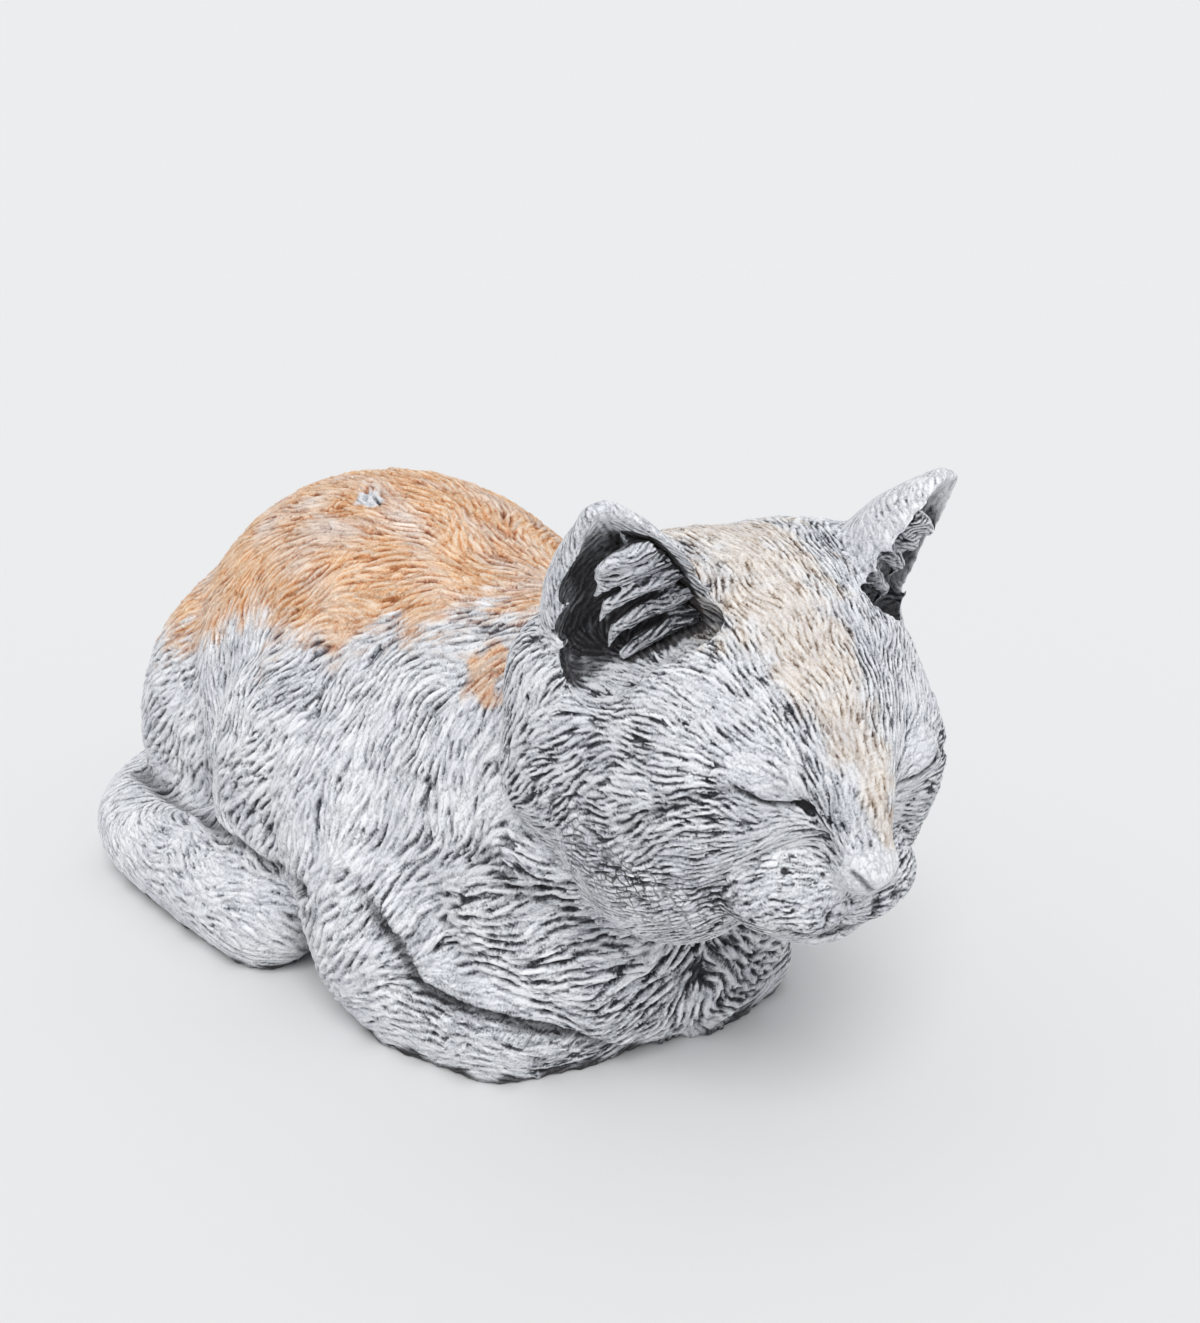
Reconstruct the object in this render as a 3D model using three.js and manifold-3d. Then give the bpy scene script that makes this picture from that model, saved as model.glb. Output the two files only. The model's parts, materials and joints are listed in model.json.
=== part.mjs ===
// A garden statue of a sleeping cat, cast in one piece of concrete and lying with its paws tucked in.
// The casting is modelled as the sections that a sculptor would block out: trunk, rump, thighs, chest,
// forelegs, tail, head, muzzle, eyelids, ears and the fur inside the ears. Sizes are millimetres.
// The cat faces -Y, its left side is +X, up is +Z, and its flat underside lies on Z = 0.
import * as THREE from "three";
import { mergeVertices } from "three/addons/utils/BufferGeometryUtils.js";
import Module from "manifold-3d";

const wasm = await Module();
wasm.setup();

// Driving dimensions of the casting
const SEAM = 0.3; // gap between one section and the next
const SOFTNESS = 30; // fillet between trunk, shoulders and neck
const UNDERCUT = 1.7; // depth to which the round of the body would run on, to the height of its widest line

// Body
const TRUNK_WIDTH = 176;
const TRUNK_LENGTH = 268;
const TRUNK_HEIGHT = 180;
const TRUNK_WIDEST = 76; // height of the widest line of the trunk
const TRUNK_LEAD = 96; // how far the trunk reaches ahead of the origin
const SHOULDER_WIDTH = 156;
const SHOULDER_LENGTH = 132;
const SHOULDER_HEIGHT = 140;
const SHOULDER_LEAD = 40; // how far the shoulders reach ahead of the trunk
const NECK = 50;
const NAPE_REACH = 43; // how far behind the middle of the head the neck ends
const HAUNCH_WIDEST = 64; // height of the widest line of the rump, thighs, shoulders and chest
const RUMP_WIDTH = 178;
const RUMP_LENGTH = 148;
const RUMP_HEIGHT = 152;
const BUTTOCK = 48;
const THIGH_WIDTH = 88;
const THIGH_LENGTH = 116;
const THIGH_HEIGHT = 132;
const THIGH_PROUD = 12; // how far the thighs stand out from the trunk
const THIGH_LEAD = 18; // how far the middle of a thigh lies ahead of the rump

// Chest, forelegs and tail
const CHEST_WIDTH = 152;
const CHEST_LENGTH = 110;
const CHEST_HEIGHT = 112;
const CHEST_SHIFT = 8; // the chest bulges a little to the left, under the turned head
const UPPER_ARM = 40;
const ARM_PROUD = 19; // how far the upper arms stand out from the shoulders
const FOREARM = 24;
const PAW = 21;
const LEFT_PAW_LEAD = 7; // how far the left forearm lies ahead of the right one
const TAIL = 23;
const TAIL_BEND = 45; // radius of the turn from the rump to the cat's right side
const TAIL_TIP_LEAD = 200; // how far the tip of the tail lies ahead of the back of the trunk

// Head
const HEAD_LEAD = 33; // from the front of the shoulders to the middle of the skull
const HEAD_SHIFT = 12;
const HEAD_LEVEL = 122;
const HEAD_TURN = -8;
const HEAD_PITCH = 9;
const HEAD_TILT = -0.5;
const SKULL_WIDTH = 122;
const SKULL_LENGTH = 112;
const SKULL_TOP = 67;
const CHEEK_WIDTH = 126;
const CHEEK_ROUND = 36;
const CHEEK_DROP = 64;
const BRIDGE = 13; // half the width of the ridge of the nose
const NOSE_REACH = 76;
const NOSE_WIDTH = 18;
const NOSE_DROP = 8;
const MUZZLE_WIDTH = 68;
const LIP_DROP = 37;
const CHIN_WIDTH = 40;
const CHIN_DROP = 46;
const EYE_APART = 41; // between the middles of the eyes
const EYE_LEVEL = 15;
const LEFT_EYE_DROP = 3; // how far the left eye lies under the level of the right one
const LID_WIDTH = 38;
const LID_HEIGHT = 19;
const LID_PROUD = 2.5;
const EAR_WALL = 7;
const LOCKS = 5; // locks of fur in each ear
const LOCK = 8;
const LOCK_RISE = 26; // how far the lowest lock stands off the back of the ear
const RIGHT_LOCK_TIP = 0.42; // share of the way from the outer rim to the inner one
const LEFT_LOCK_TIP = 0.28;

const degrees = THREE.MathUtils.degToRad;
const lerp = THREE.MathUtils.lerp;
const vector = (q) => new THREE.Vector3(...q);

// Forms: a form gives about how far outside its surface a point lies, and less than zero inside
const ball = ([cx, cy, cz], [rx, ry, up, down = up]) => (p) => {
  const rz = p.z > cz ? up : down;
  const [x, y, z] = [p.x - cx, p.y - cy, p.z - cz];
  const near = Math.hypot(x / rx, y / ry, z / rz);
  const steep = Math.hypot(x / rx ** 2, y / ry ** 2, z / rz ** 2);
  return steep === 0 ? -Math.min(rx, ry, rz) : (near * (near - 1)) / steep;
};

// A bulge given by its widest line, its width and length there, its top and its depth below the line
const bulge = ([x, y, widest], width, length, top, depth) =>
  ball([x, y, widest], [width / 2, length / 2, top - widest, depth]);

const limb = (points, radii) => {
  const joints = points.map(vector);
  return (p) => {
    let nearest = Infinity;
    for (let i = 0; i + 1 < joints.length; i++) {
      const bone = joints[i + 1].clone().sub(joints[i]);
      const share = p.clone().sub(joints[i]).dot(bone) / bone.lengthSq();
      const along = THREE.MathUtils.clamp(share, 0, 1);
      const gap = p.distanceTo(joints[i].clone().addScaledVector(bone, along));
      nearest = Math.min(nearest, gap - lerp(radii[i], radii[i + 1], along));
    }
    return nearest;
  };
};

const melt = (fillet, ...forms) => (p) =>
  forms
    .map((form) => form(p))
    .reduce((a, b) => Math.min(a, b) - Math.max(fillet - Math.abs(a - b), 0) ** 2 / (4 * fillet));

const furrow = (fillet, form, ...tools) => (p) =>
  tools
    .map((tool) => -tool(p))
    .reduce((a, b) => Math.max(a, b) + Math.max(fillet - Math.abs(a - b), 0) ** 2 / (4 * fillet), form(p));

const bothSides = (make) => [make(-1), make(1)];

// Solids
function merged(geometry) {
  const bare = geometry.clone();
  bare.deleteAttribute("normal");
  bare.deleteAttribute("uv");
  return mergeVertices(bare, 1e-4);
}

function solidOf(geometry) {
  if (geometry instanceof wasm.Manifold) return geometry;
  const body = merged(geometry);
  const vertProperties = Float32Array.from(body.attributes.position.array);
  return new wasm.Manifold(
    new wasm.Mesh({ numProp: 3, vertProperties, triVerts: Uint32Array.from(body.index.array) }),
  );
}

function geometryOf(solid) {
  const mesh = solid.getMesh();
  const geometry = new THREE.BufferGeometry();
  geometry.setAttribute("position", new THREE.BufferAttribute(mesh.vertProperties, 3));
  geometry.setIndex(new THREE.BufferAttribute(mesh.triVerts, 1));
  geometry.computeVertexNormals();
  return geometry;
}

// The largest part is kept, so a sliver cut off by a neighbour is dropped
function cut(body, ...tools) {
  let solid = solidOf(body);
  for (const tool of tools) solid = solid.subtract(solidOf(tool));
  const parts = solid.decompose().sort((a, b) => b.volume() - a.volume());
  return geometryOf(parts[0]);
}

// A closed skin drawn round a form: rays leave the heart and stop where they leave the form
function skin(form, heart, detail, proud = 0, spread = [1, 1, 1]) {
  const geometry = merged(new THREE.IcosahedronGeometry(1, detail));
  const start = vector(heart);
  const place = geometry.attributes.position;
  const [ray, point] = [new THREE.Vector3(), new THREE.Vector3()];
  const outside = (far) => form(point.copy(start).addScaledVector(ray, far)) > proud;
  for (let i = 0; i < place.count; i++) {
    ray.fromBufferAttribute(place, i).multiply(vector(spread)).normalize();
    let [low, high] = [0, 4];
    while (!outside(high)) [low, high] = [high, high + 4];
    while (high - low > 1e-3) {
      const middle = (low + high) / 2;
      if (outside(middle)) high = middle;
      else low = middle;
    }
    point.copy(start).addScaledVector(ray, low);
    place.setXYZ(i, point.x, point.y, point.z);
  }
  return geometry;
}

// The point some way under a form's surface, on a line that leaves the form from a point inside it
function settle(form, from, direction, depth) {
  const step = vector(direction).normalize();
  const point = vector(from);
  while (form(point) < 0) point.addScaledVector(step, 0.25);
  return point.addScaledVector(step, -depth).toArray();
}

// A closed skin through rings of equal count, from the first ring to the last
function loft(rings) {
  const sides = rings[0].length;
  const middle = (ring) =>
    ring.reduce((sum, q) => sum.add(q), new THREE.Vector3()).divideScalar(sides);
  const points = [...rings.flat(), middle(rings[0]), middle(rings[rings.length - 1])];
  const faces = [];
  const at = (ring, side) => ring * sides + (side % sides);
  for (let side = 0; side < sides; side++) {
    faces.push(points.length - 2, at(0, side + 1), at(0, side));
    faces.push(points.length - 1, at(rings.length - 1, side), at(rings.length - 1, side + 1));
    for (let ring = 0; ring + 1 < rings.length; ring++) {
      faces.push(at(ring, side), at(ring, side + 1), at(ring + 1, side + 1));
      faces.push(at(ring, side), at(ring + 1, side + 1), at(ring + 1, side));
    }
  }
  const geometry = new THREE.BufferGeometry().setFromPoints(points);
  geometry.setIndex(faces);
  return geometry;
}

// A round body along a route, with its radius given at each share of the way
function tube(points, steps, sides, radiusAt) {
  const path = new THREE.CatmullRomCurve3(points);
  const frames = path.computeFrenetFrames(steps, false);
  const rings = frames.normals.map((normal, i) => {
    const radius = radiusAt(i / steps);
    return Array.from({ length: sides }, (_, side) => {
      const turn = (side / sides) * 2 * Math.PI;
      return path
        .getPointAt(i / steps)
        .addScaledVector(normal, radius * Math.cos(turn))
        .addScaledVector(frames.binormals[i], radius * Math.sin(turn));
    });
  });
  return loft(rings);
}

// Places along the cat, measured from the origin
const trunkMiddle = TRUNK_LENGTH / 2 - TRUNK_LEAD;
const trunkBack = TRUNK_LENGTH - TRUNK_LEAD;
const rumpMiddle = trunkBack - RUMP_LENGTH / 2;
const thighMiddle = rumpMiddle - RUMP_LENGTH / 2 - THIGH_LEAD;
const shoulderFront = -TRUNK_LEAD - SHOULDER_LEAD;
const shoulderMiddle = shoulderFront + SHOULDER_LENGTH / 2;
const chestMiddle = shoulderFront - HEAD_LEAD + CHEST_LENGTH / 2 + 4;
const headPlace = [HEAD_SHIFT, shoulderFront - HEAD_LEAD, HEAD_LEVEL];

// Trunk, rump and thighs
const shoulderTop = [0, shoulderMiddle + 10, SHOULDER_HEIGHT - NECK];
const nape = [HEAD_SHIFT / 2, headPlace[1] + NAPE_REACH, HEAD_LEVEL - 4];
const trunkForm = melt(
  SOFTNESS,
  bulge([0, trunkMiddle, TRUNK_WIDEST], TRUNK_WIDTH, TRUNK_LENGTH, TRUNK_HEIGHT, UNDERCUT * TRUNK_WIDEST),
  bulge(
    [0, shoulderMiddle, HAUNCH_WIDEST],
    SHOULDER_WIDTH,
    SHOULDER_LENGTH,
    SHOULDER_HEIGHT,
    UNDERCUT * HAUNCH_WIDEST,
  ),
  limb([shoulderTop, nape], [NECK + 8, NECK]),
);
const trunk = (proud) => skin(trunkForm, [0, -6, TRUNK_WIDEST], 8, proud, [1, 1.6, 1]);

const rumpForm = melt(
  16,
  bulge([0, rumpMiddle, HAUNCH_WIDEST], RUMP_WIDTH, RUMP_LENGTH, RUMP_HEIGHT, 100),
  ...bothSides((side) =>
    ball([side * (RUMP_WIDTH / 2 - BUTTOCK + 7), rumpMiddle + 6, 58], [BUTTOCK, BUTTOCK + 2, BUTTOCK + 16]),
  ),
);
const rump = (proud) => skin(rumpForm, [0, rumpMiddle, HAUNCH_WIDEST], 6, proud, [1, 0.9, 1]);

function thigh(side, proud) {
  const out = TRUNK_WIDTH / 2 + THIGH_PROUD - THIGH_WIDTH / 2;
  const middle = [side * out, thighMiddle, HAUNCH_WIDEST];
  const form = bulge(middle, THIGH_WIDTH, THIGH_LENGTH, THIGH_HEIGHT, HAUNCH_WIDEST - 4);
  return skin(form, middle, 4, proud);
}

// Chest and forelegs
const chestForm = melt(
  18,
  bulge([CHEST_SHIFT, chestMiddle, HAUNCH_WIDEST], CHEST_WIDTH, CHEST_LENGTH, CHEST_HEIGHT, 66),
  ball([CHEST_SHIFT, chestMiddle - 2, 34], [CHEST_WIDTH / 2 - 14, CHEST_LENGTH / 2 - 3, 40]),
);
const chest = (proud) => skin(chestForm, [CHEST_SHIFT, chestMiddle, 56], 6, proud);

const armOut = SHOULDER_WIDTH / 2 + ARM_PROUD - UPPER_ARM;

function upperArm(side, proud) {
  const bone = [
    [side * armOut, shoulderMiddle + 30, HAUNCH_WIDEST + 10],
    [side * armOut, shoulderMiddle, UPPER_ARM - 8],
  ];
  const middle = [side * armOut, shoulderMiddle + 15, HAUNCH_WIDEST - 14];
  return skin(limb(bone, [UPPER_ARM, UPPER_ARM]), middle, 4, proud);
}

function forearm(side, proud) {
  const lead = side > 0 ? LEFT_PAW_LEAD : 0;
  const bones = [
    [side * (armOut + 9), shoulderMiddle - 10, FOREARM - 8],
    [side * (armOut - 7), shoulderMiddle - 48 - lead, FOREARM - 8],
    [side * (armOut - 37), shoulderMiddle - 58 - lead, PAW - 7],
  ];
  const middle = [side * (armOut - 9), shoulderMiddle - 42, FOREARM - 10];
  return skin(limb(bones, [FOREARM, FOREARM, PAW]), middle, 4, proud, [1, 1, 0.7]);
}

// Tail: it leaves the back of the rump, turns forward and lies along the right side to a blunt tip
function tail() {
  const flank = -TRUNK_WIDTH / 2;
  const back = trunkBack - TAIL - 4;
  const route = [
    [flank + TRUNK_WIDTH / 2 - 10, back + 1, TAIL - 1],
    [flank - 9 + TAIL_BEND - 14, back - 1, TAIL - 2],
    [flank - 9, back - TAIL_BEND + 12, TAIL - 3],
    [flank - 8, back - 93, TAIL - 4],
    [flank - 2, back - 143, TAIL - 4],
    [flank + 4, trunkBack - TAIL_TIP_LEAD, TAIL - 9],
  ];
  return tube(route.map(vector), 22, 12, (share) => {
    const blunt = Math.max(0, (share - 0.86) / 0.145);
    return TAIL * Math.sqrt(1 - blunt ** 2);
  });
}

// Head, in its own frame with the origin in the middle of the skull
const cheekOut = CHEEK_WIDTH / 2 - CHEEK_ROUND;
const noseTip = [0, NOSE_WIDTH / 2 - NOSE_REACH, -NOSE_DROP];
const noseRoot = [0, noseTip[1] + 13, NOSE_DROP - 2];
const headForm = furrow(
  7,
  melt(
    14,
    bulge([0, 8, 12], SKULL_WIDTH, SKULL_LENGTH, SKULL_TOP, 50),
    ball([0, -24, 12], [34, 30, 32]),
    limb([[0, -36, 24], noseRoot], [BRIDGE + 4, BRIDGE]),
    ...bothSides((side) => ball([side * cheekOut, -2, -18], [CHEEK_ROUND, 43, 38, CHEEK_DROP - 18])),
    ...bothSides((side) => ball([side * (EYE_APART / 2 + 10), -26, EYE_LEVEL - 11], [23, 23, 23])),
    ...bothSides((side) => limb([[side * 50, 26, -14], [side * 54, 24, 22]], [23, 20])),
    ...bothSides((side) =>
      limb([[side * 18, 20, SKULL_TOP - 13], [side * 36, 20, SKULL_TOP - 11]], [10, 9]),
    ),
  ),
  ...bothSides((side) => ball([side * (BRIDGE + 6), noseTip[1] + 3, EYE_LEVEL - 7], [7, 7, 6])),
);
const head = (proud) => skin(headForm, [0, 0, 0], 11, proud);

const padOut = MUZZLE_WIDTH / 2 - 20;
const muzzleForm = melt(
  7,
  ...bothSides((side) => ball([side * padOut, noseTip[1] + 19, 14 - LIP_DROP], [20, 17, 14])),
  limb([noseRoot, [0, noseTip[1] + 5, 4 - NOSE_DROP]], [BRIDGE, BRIDGE - 4]),
);
const muzzle = (proud) => skin(muzzleForm, [0, noseTip[1] + 21, 21 - LIP_DROP], 6, proud);

const noseForm = ball(noseTip, [NOSE_WIDTH / 2, NOSE_WIDTH / 2, 8]);
const nose = () => skin(noseForm, noseTip, 2);

const chinMiddle = [0, noseTip[1] + 23, 11 - CHIN_DROP];
const chin = () => skin(ball(chinMiddle, [CHIN_WIDTH / 2, 18, 11]), chinMiddle, 2);

function eyelid(side) {
  const level = side > 0 ? EYE_LEVEL - LEFT_EYE_DROP : EYE_LEVEL;
  const depth = 8 - LID_PROUD;
  const middle = settle(headForm, [side * (EYE_APART / 2 - 4), 0, level], [side * 0.1, -1, 0.02], depth);
  return skin(ball(middle, [LID_WIDTH / 2, 8, LID_HEIGHT / 2]), middle, 3);
}

// Ears: a cupped leaf between an outer rim, an inner rim and two lines along its back, each given by
// its foot, its middle and its tip, as (out, back, up) from a point inside the side of the skull
const EAR_ROOT = [SKULL_WIDTH / 2 - 27, 0, SKULL_TOP - 33];
const OUTER_RIM = [[20, -2, -36], [30, 3, 13], [33, -5, 51]];
const OUTER_BACK = [[40, 40, -30], [45, 28, 16], [31, -3, 52]];
const INNER_BACK = [[-20, 44, 0], [2, 31, 38], [27, -3, 54]];
const INNER_RIM = [[-20, -14, 0], [4, -18, 38], [24, -7, 53]];

function earSurface(side) {
  const lines = [OUTER_RIM, OUTER_BACK, INNER_BACK, INNER_RIM].map((points) => {
    const placed = points.map((q) => vector(q).add(vector(EAR_ROOT)));
    return new THREE.CatmullRomCurve3(placed.map((q) => q.setX(side * q.x)));
  });
  return (up, across, lift) => {
    const section = new THREE.CubicBezierCurve3(...lines.map((line) => line.getPoint(up)));
    const spot = section.getPoint(across);
    const ahead = lines[0].getPoint(up).add(lines[3].getPoint(up)).multiplyScalar(0.5);
    const slope = section.getTangent(across);
    const inward = ahead.sub(section.getPoint(0.5)).projectOnPlane(slope);
    return spot.addScaledVector(inward.normalize(), lift);
  };
}

function ear(side, proud = 0) {
  const surface = earSurface(side);
  const rings = [];
  const steps = 12;
  const across = 9;
  for (let i = 0; i <= steps; i++) {
    const up = i / steps;
    const wall = (EAR_WALL / 2) * (1 - 0.2 * up) + proud;
    const ring = [];
    const add = (j, face) => {
      const share = j / across;
      ring.push(surface(up, share, face * wall * Math.sqrt(1 - (2 * share - 1) ** 4)));
    };
    for (let j = 0; j <= across; j++) add(j, 1);
    for (let j = across - 1; j > 0; j--) add(j, -1);
    rings.push(side > 0 ? ring.reverse() : ring);
  }
  return loft(rings);
}

// The space inside an ear, from its inner face to past the level of its rims, drawn in by an inset
function earHollow(side, inset = 0) {
  const surface = earSurface(side);
  const rings = [];
  const steps = 8;
  const across = 8;
  for (let i = 0; i <= steps; i++) {
    const up = lerp(0.2 + inset / 50, 0.9, i / steps);
    const ring = [];
    for (let j = 0; j <= across; j++) ring.push(surface(up, j / across, EAR_WALL / 2));
    const [outer, inner] = [ring[0], ring[across]];
    for (const share of [0.2, 0.8]) {
      ring.push(inner.clone().lerp(outer, share).add(new THREE.Vector3(side * 2, -5, 0)));
    }
    const middle = ring.reduce((sum, q) => sum.add(q), new THREE.Vector3()).divideScalar(ring.length);
    const drawnIn = ring.map((q) => q.addScaledVector(middle.clone().sub(q).normalize(), inset));
    rings.push(side < 0 ? drawnIn.reverse() : drawnIn);
  }
  return loft(rings);
}

// The fur inside an ear: a pad along the inner rim with locks that sweep out and down across the hollow
function earFur(side) {
  const surface = earSurface(side);
  const taper = (width) => (share) => (width / 2) * Math.sqrt(1 - 0.97 * share ** 2);
  const root = [surface(0.2, 0.88, 4), surface(0.5, 0.84, 4), surface(0.78, 0.76, 2)];
  const pad = tube(root, 5, 6, taper(LOCK + 4));
  const tip = side > 0 ? LEFT_LOCK_TIP : RIGHT_LOCK_TIP;
  const locks = [];
  for (let i = 0; i < LOCKS; i++) {
    const up = lerp(0.26, 0.7, i / (LOCKS - 1));
    const crown = LOCK_RISE * (1 - 0.55 * up);
    const route = [
      surface(up, 0.92, 4),
      surface(up, 0.78, crown * 0.8),
      surface(up - 0.05, lerp(0.78, tip, 0.5), crown),
      surface(up - 0.11, tip, crown * 0.95),
    ];
    locks.push(tube(route, 4, 5, taper(LOCK)));
  }
  return [pad, ...locks].map(solidOf).reduce((whole, lock) => whole.add(lock));
}

// Assembly
const STONE = 0xb9bbc0;
const GINGER = 0xc79069;
const BUFF = 0xb3a795;
const SIDES = [["right", -1], ["left", 1]];

function piece(name, geometry, color) {
  const material = new THREE.MeshStandardMaterial({ color, roughness: 0.9, metalness: 0 });
  const mesh = new THREE.Mesh(geometry, material);
  mesh.name = name;
  return mesh;
}

const ground = new THREE.BoxGeometry(900, 900, 200).translate(0, 0, -100);
const statue = new THREE.Group();

statue.add(piece("trunk", cut(trunk(0), ground), GINGER));
statue.add(piece("rump", cut(rump(0), ground, trunk(SEAM)), GINGER));
for (const [name, side] of SIDES) {
  statue.add(piece(name + "_thigh", cut(thigh(side, 0), ground, trunk(SEAM), rump(SEAM)), STONE));
  const arm = cut(upperArm(side, 0), ground, trunk(SEAM), thigh(side, SEAM));
  statue.add(piece(name + "_upper_arm", arm, STONE));
}
const chestTools = [ground, trunk(SEAM), upperArm(1, SEAM), upperArm(-1, SEAM)];
statue.add(piece("chest", cut(chest(0), ...chestTools), STONE));
for (const [name, side] of SIDES) {
  const tucked = cut(forearm(side, 0), ground, trunk(SEAM), upperArm(side, SEAM), chest(SEAM));
  statue.add(piece(name + "_forearm", tucked, STONE));
}
const tailTools = [ground, trunk(SEAM), rump(SEAM), thigh(-1, SEAM), upperArm(-1, SEAM)];
statue.add(piece("tail", cut(tail(), ...tailTools), STONE));

const headGroup = new THREE.Group();
headGroup.position.set(...headPlace);
headGroup.rotation.set(degrees(HEAD_PITCH), degrees(HEAD_TILT), degrees(HEAD_TURN), "ZXY");
headGroup.updateMatrix();
statue.add(headGroup);
const toHead = headGroup.matrix.clone().invert();
const bodyTools = [trunk(SEAM), chest(SEAM)].map((tool) => tool.applyMatrix4(toHead));
headGroup.add(piece("head", cut(head(0), earHollow(-1), earHollow(1), ...bodyTools), BUFF));
headGroup.add(piece("muzzle", cut(muzzle(0), head(SEAM), ...bodyTools), STONE));
headGroup.add(piece("nose", cut(nose(), head(SEAM), muzzle(SEAM)), STONE));
headGroup.add(piece("chin", cut(chin(), head(SEAM), muzzle(SEAM), ...bodyTools), STONE));
const hollows = SIDES.map(([, side]) => solidOf(earHollow(side, 2 * SEAM)));
const skull = hollows.reduce((solid, hollow) => solid.subtract(hollow), solidOf(head(SEAM)));
for (const [name, side] of SIDES) {
  headGroup.add(piece(name + "_eyelid", cut(eyelid(side), head(SEAM), muzzle(SEAM)), STONE));
  headGroup.add(piece(name + "_ear", cut(ear(side), head(SEAM)), STONE));
  headGroup.add(piece(name + "_ear_fur", cut(earFur(side), skull, ear(side, SEAM)), STONE));
}

export default statue;
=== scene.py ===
import json
import math

import bmesh
import bpy
import numpy as np
from mathutils import Matrix, Vector
from mathutils.bvhtree import BVHTree


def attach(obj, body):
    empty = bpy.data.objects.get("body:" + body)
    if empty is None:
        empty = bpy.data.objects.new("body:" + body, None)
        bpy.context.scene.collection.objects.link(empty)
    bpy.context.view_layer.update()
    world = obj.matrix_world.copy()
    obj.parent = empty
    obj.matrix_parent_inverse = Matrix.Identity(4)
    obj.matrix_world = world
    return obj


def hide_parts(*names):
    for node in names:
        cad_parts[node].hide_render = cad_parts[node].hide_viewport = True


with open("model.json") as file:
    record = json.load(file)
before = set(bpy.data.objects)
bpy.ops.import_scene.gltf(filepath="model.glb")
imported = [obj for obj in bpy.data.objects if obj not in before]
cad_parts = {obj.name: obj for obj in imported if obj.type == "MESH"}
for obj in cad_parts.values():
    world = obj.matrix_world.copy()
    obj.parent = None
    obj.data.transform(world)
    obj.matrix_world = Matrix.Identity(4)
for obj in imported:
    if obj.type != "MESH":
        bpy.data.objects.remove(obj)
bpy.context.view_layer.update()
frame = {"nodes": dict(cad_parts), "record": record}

MM = 0.001

BODY = [
    "trunk", "rump", "right_thigh", "right_upper_arm", "left_thigh", "left_upper_arm",
    "chest", "right_forearm", "left_forearm", "tail",
]
HEAD = ["head", "muzzle", "nose", "chin", "right_eyelid", "left_eyelid", "right_ear", "left_ear"]
EAR_FUR = ["right_ear_fur", "left_ear_fur"]
SECTIONS = BODY + HEAD + EAR_FUR
GROUND = 1.2  # faces that look down and lie lower than this, in millimetres, belong to the underside
BEYOND_SEAM = 3  # rings of faces that a skin runs on past its own sections
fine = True


def placed(name, data):
    """A new object in the scene that holds this data."""
    made = bpy.data.objects.new(name, data)
    bpy.context.scene.collection.objects.link(made)
    return made


def as_mesh(bm, name):
    """A mesh made of a bmesh, which is freed."""
    mesh = bpy.data.meshes.new(name)
    bm.to_mesh(mesh)
    bm.free()
    return mesh


# Camera: the photograph's size and the focal length in its pixels
PHOTO_WIDTH, PHOTO_HEIGHT, FOCUS = 1200, 1323, 1423.0


def photo_axes():
    turn, rise, roll = (math.radians(a) for a in (-35.8, 17.3, 0.6))
    back = Vector((math.sin(turn) * math.cos(rise), -math.cos(turn) * math.cos(rise), math.sin(rise)))
    right = Vector((math.cos(turn), math.sin(turn), 0))
    up = back.cross(right)
    return right * math.cos(roll) + up * math.sin(roll), up * math.cos(roll) - right * math.sin(roll), back


RIGHT, UP, BACK = photo_axes()
EYE = Vector((16.3, -82.1, 124.8)) * MM + BACK * 0.532


def set_camera():
    data = bpy.data.cameras.new("camera")
    data.sensor_width = 36
    data.lens = data.sensor_width * FOCUS / PHOTO_HEIGHT
    data.clip_start = 0.05
    camera = placed("camera", data)
    camera.matrix_world = Matrix((RIGHT, UP, BACK)).transposed().to_4x4()
    camera.location = EYE
    bpy.context.scene.camera = camera


set_camera()


# The head's own frame
HEAD_PLACE = np.array([12.0, -169.0, 122.0])


def head_axes():
    pitch, tilt, turn = (math.radians(a) for a in (9, -0.5, -8))
    axes = Matrix.Rotation(turn, 3, "Z") @ Matrix.Rotation(pitch, 3, "X") @ Matrix.Rotation(tilt, 3, "Y")
    return np.array(axes)


HEAD_AXES = head_axes()


def to_head(points):
    return (points - HEAD_PLACE) @ HEAD_AXES


def from_head(points):
    return points @ HEAD_AXES.T + HEAD_PLACE


def mirrored(points, in_head):
    flip = np.array([-1.0, 1.0, 1.0])
    return from_head(to_head(points) * flip) if in_head else points * flip


# Welding and smoothing the sections
def welded(name, grow):
    """A section's mesh with its vertices merged and its surface moved out a little, to close the seams."""
    bm = bmesh.new()
    bm.from_mesh(frame["nodes"][name].data)
    bmesh.ops.remove_doubles(bm, verts=bm.verts, dist=1e-6)
    bm.normal_update()
    for vert in bm.verts:
        vert.co += vert.normal * grow * MM
    return as_mesh(bm, "welded")


def shown_mesh(mesh, kind, **settings):
    """The mesh that one modifier makes of another."""
    holder = placed("holder", mesh)
    modifier = holder.modifiers.new(kind.lower(), kind)
    for key, value in settings.items():
        setattr(modifier, key, value)
    graph = bpy.context.evaluated_depsgraph_get()
    made = bpy.data.meshes.new_from_object(
        holder.evaluated_get(graph), preserve_all_data_layers=True, depsgraph=graph
    )
    bpy.data.objects.remove(holder)
    return made


def blocked_out(names, voxel, grow=0.35):
    """These sections as one closed mesh of even faces."""
    bm = bmesh.new()
    for name in names:
        bm.from_mesh(welded(name, grow))
    mesh = as_mesh(bm, "blocks")
    return shown_mesh(mesh, "REMESH", mode="VOXEL", voxel_size=voxel * MM, adaptivity=0)


def section_finder():
    """Finds the CAD section of the body or head nearest to a point."""
    verts, faces, owner = [], [], []
    for index, name in enumerate(BODY + HEAD):
        mesh = frame["nodes"][name].data
        first = len(verts)
        verts += [v.co.copy() for v in mesh.vertices]
        faces += [[first + i for i in face.vertices] for face in mesh.polygons]
        owner += [index] * len(mesh.polygons)
    tree = BVHTree.FromPolygons(verts, faces)
    return lambda point: owner[tree.find_nearest(point)[2]]


nearest_section = section_finder()


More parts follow.
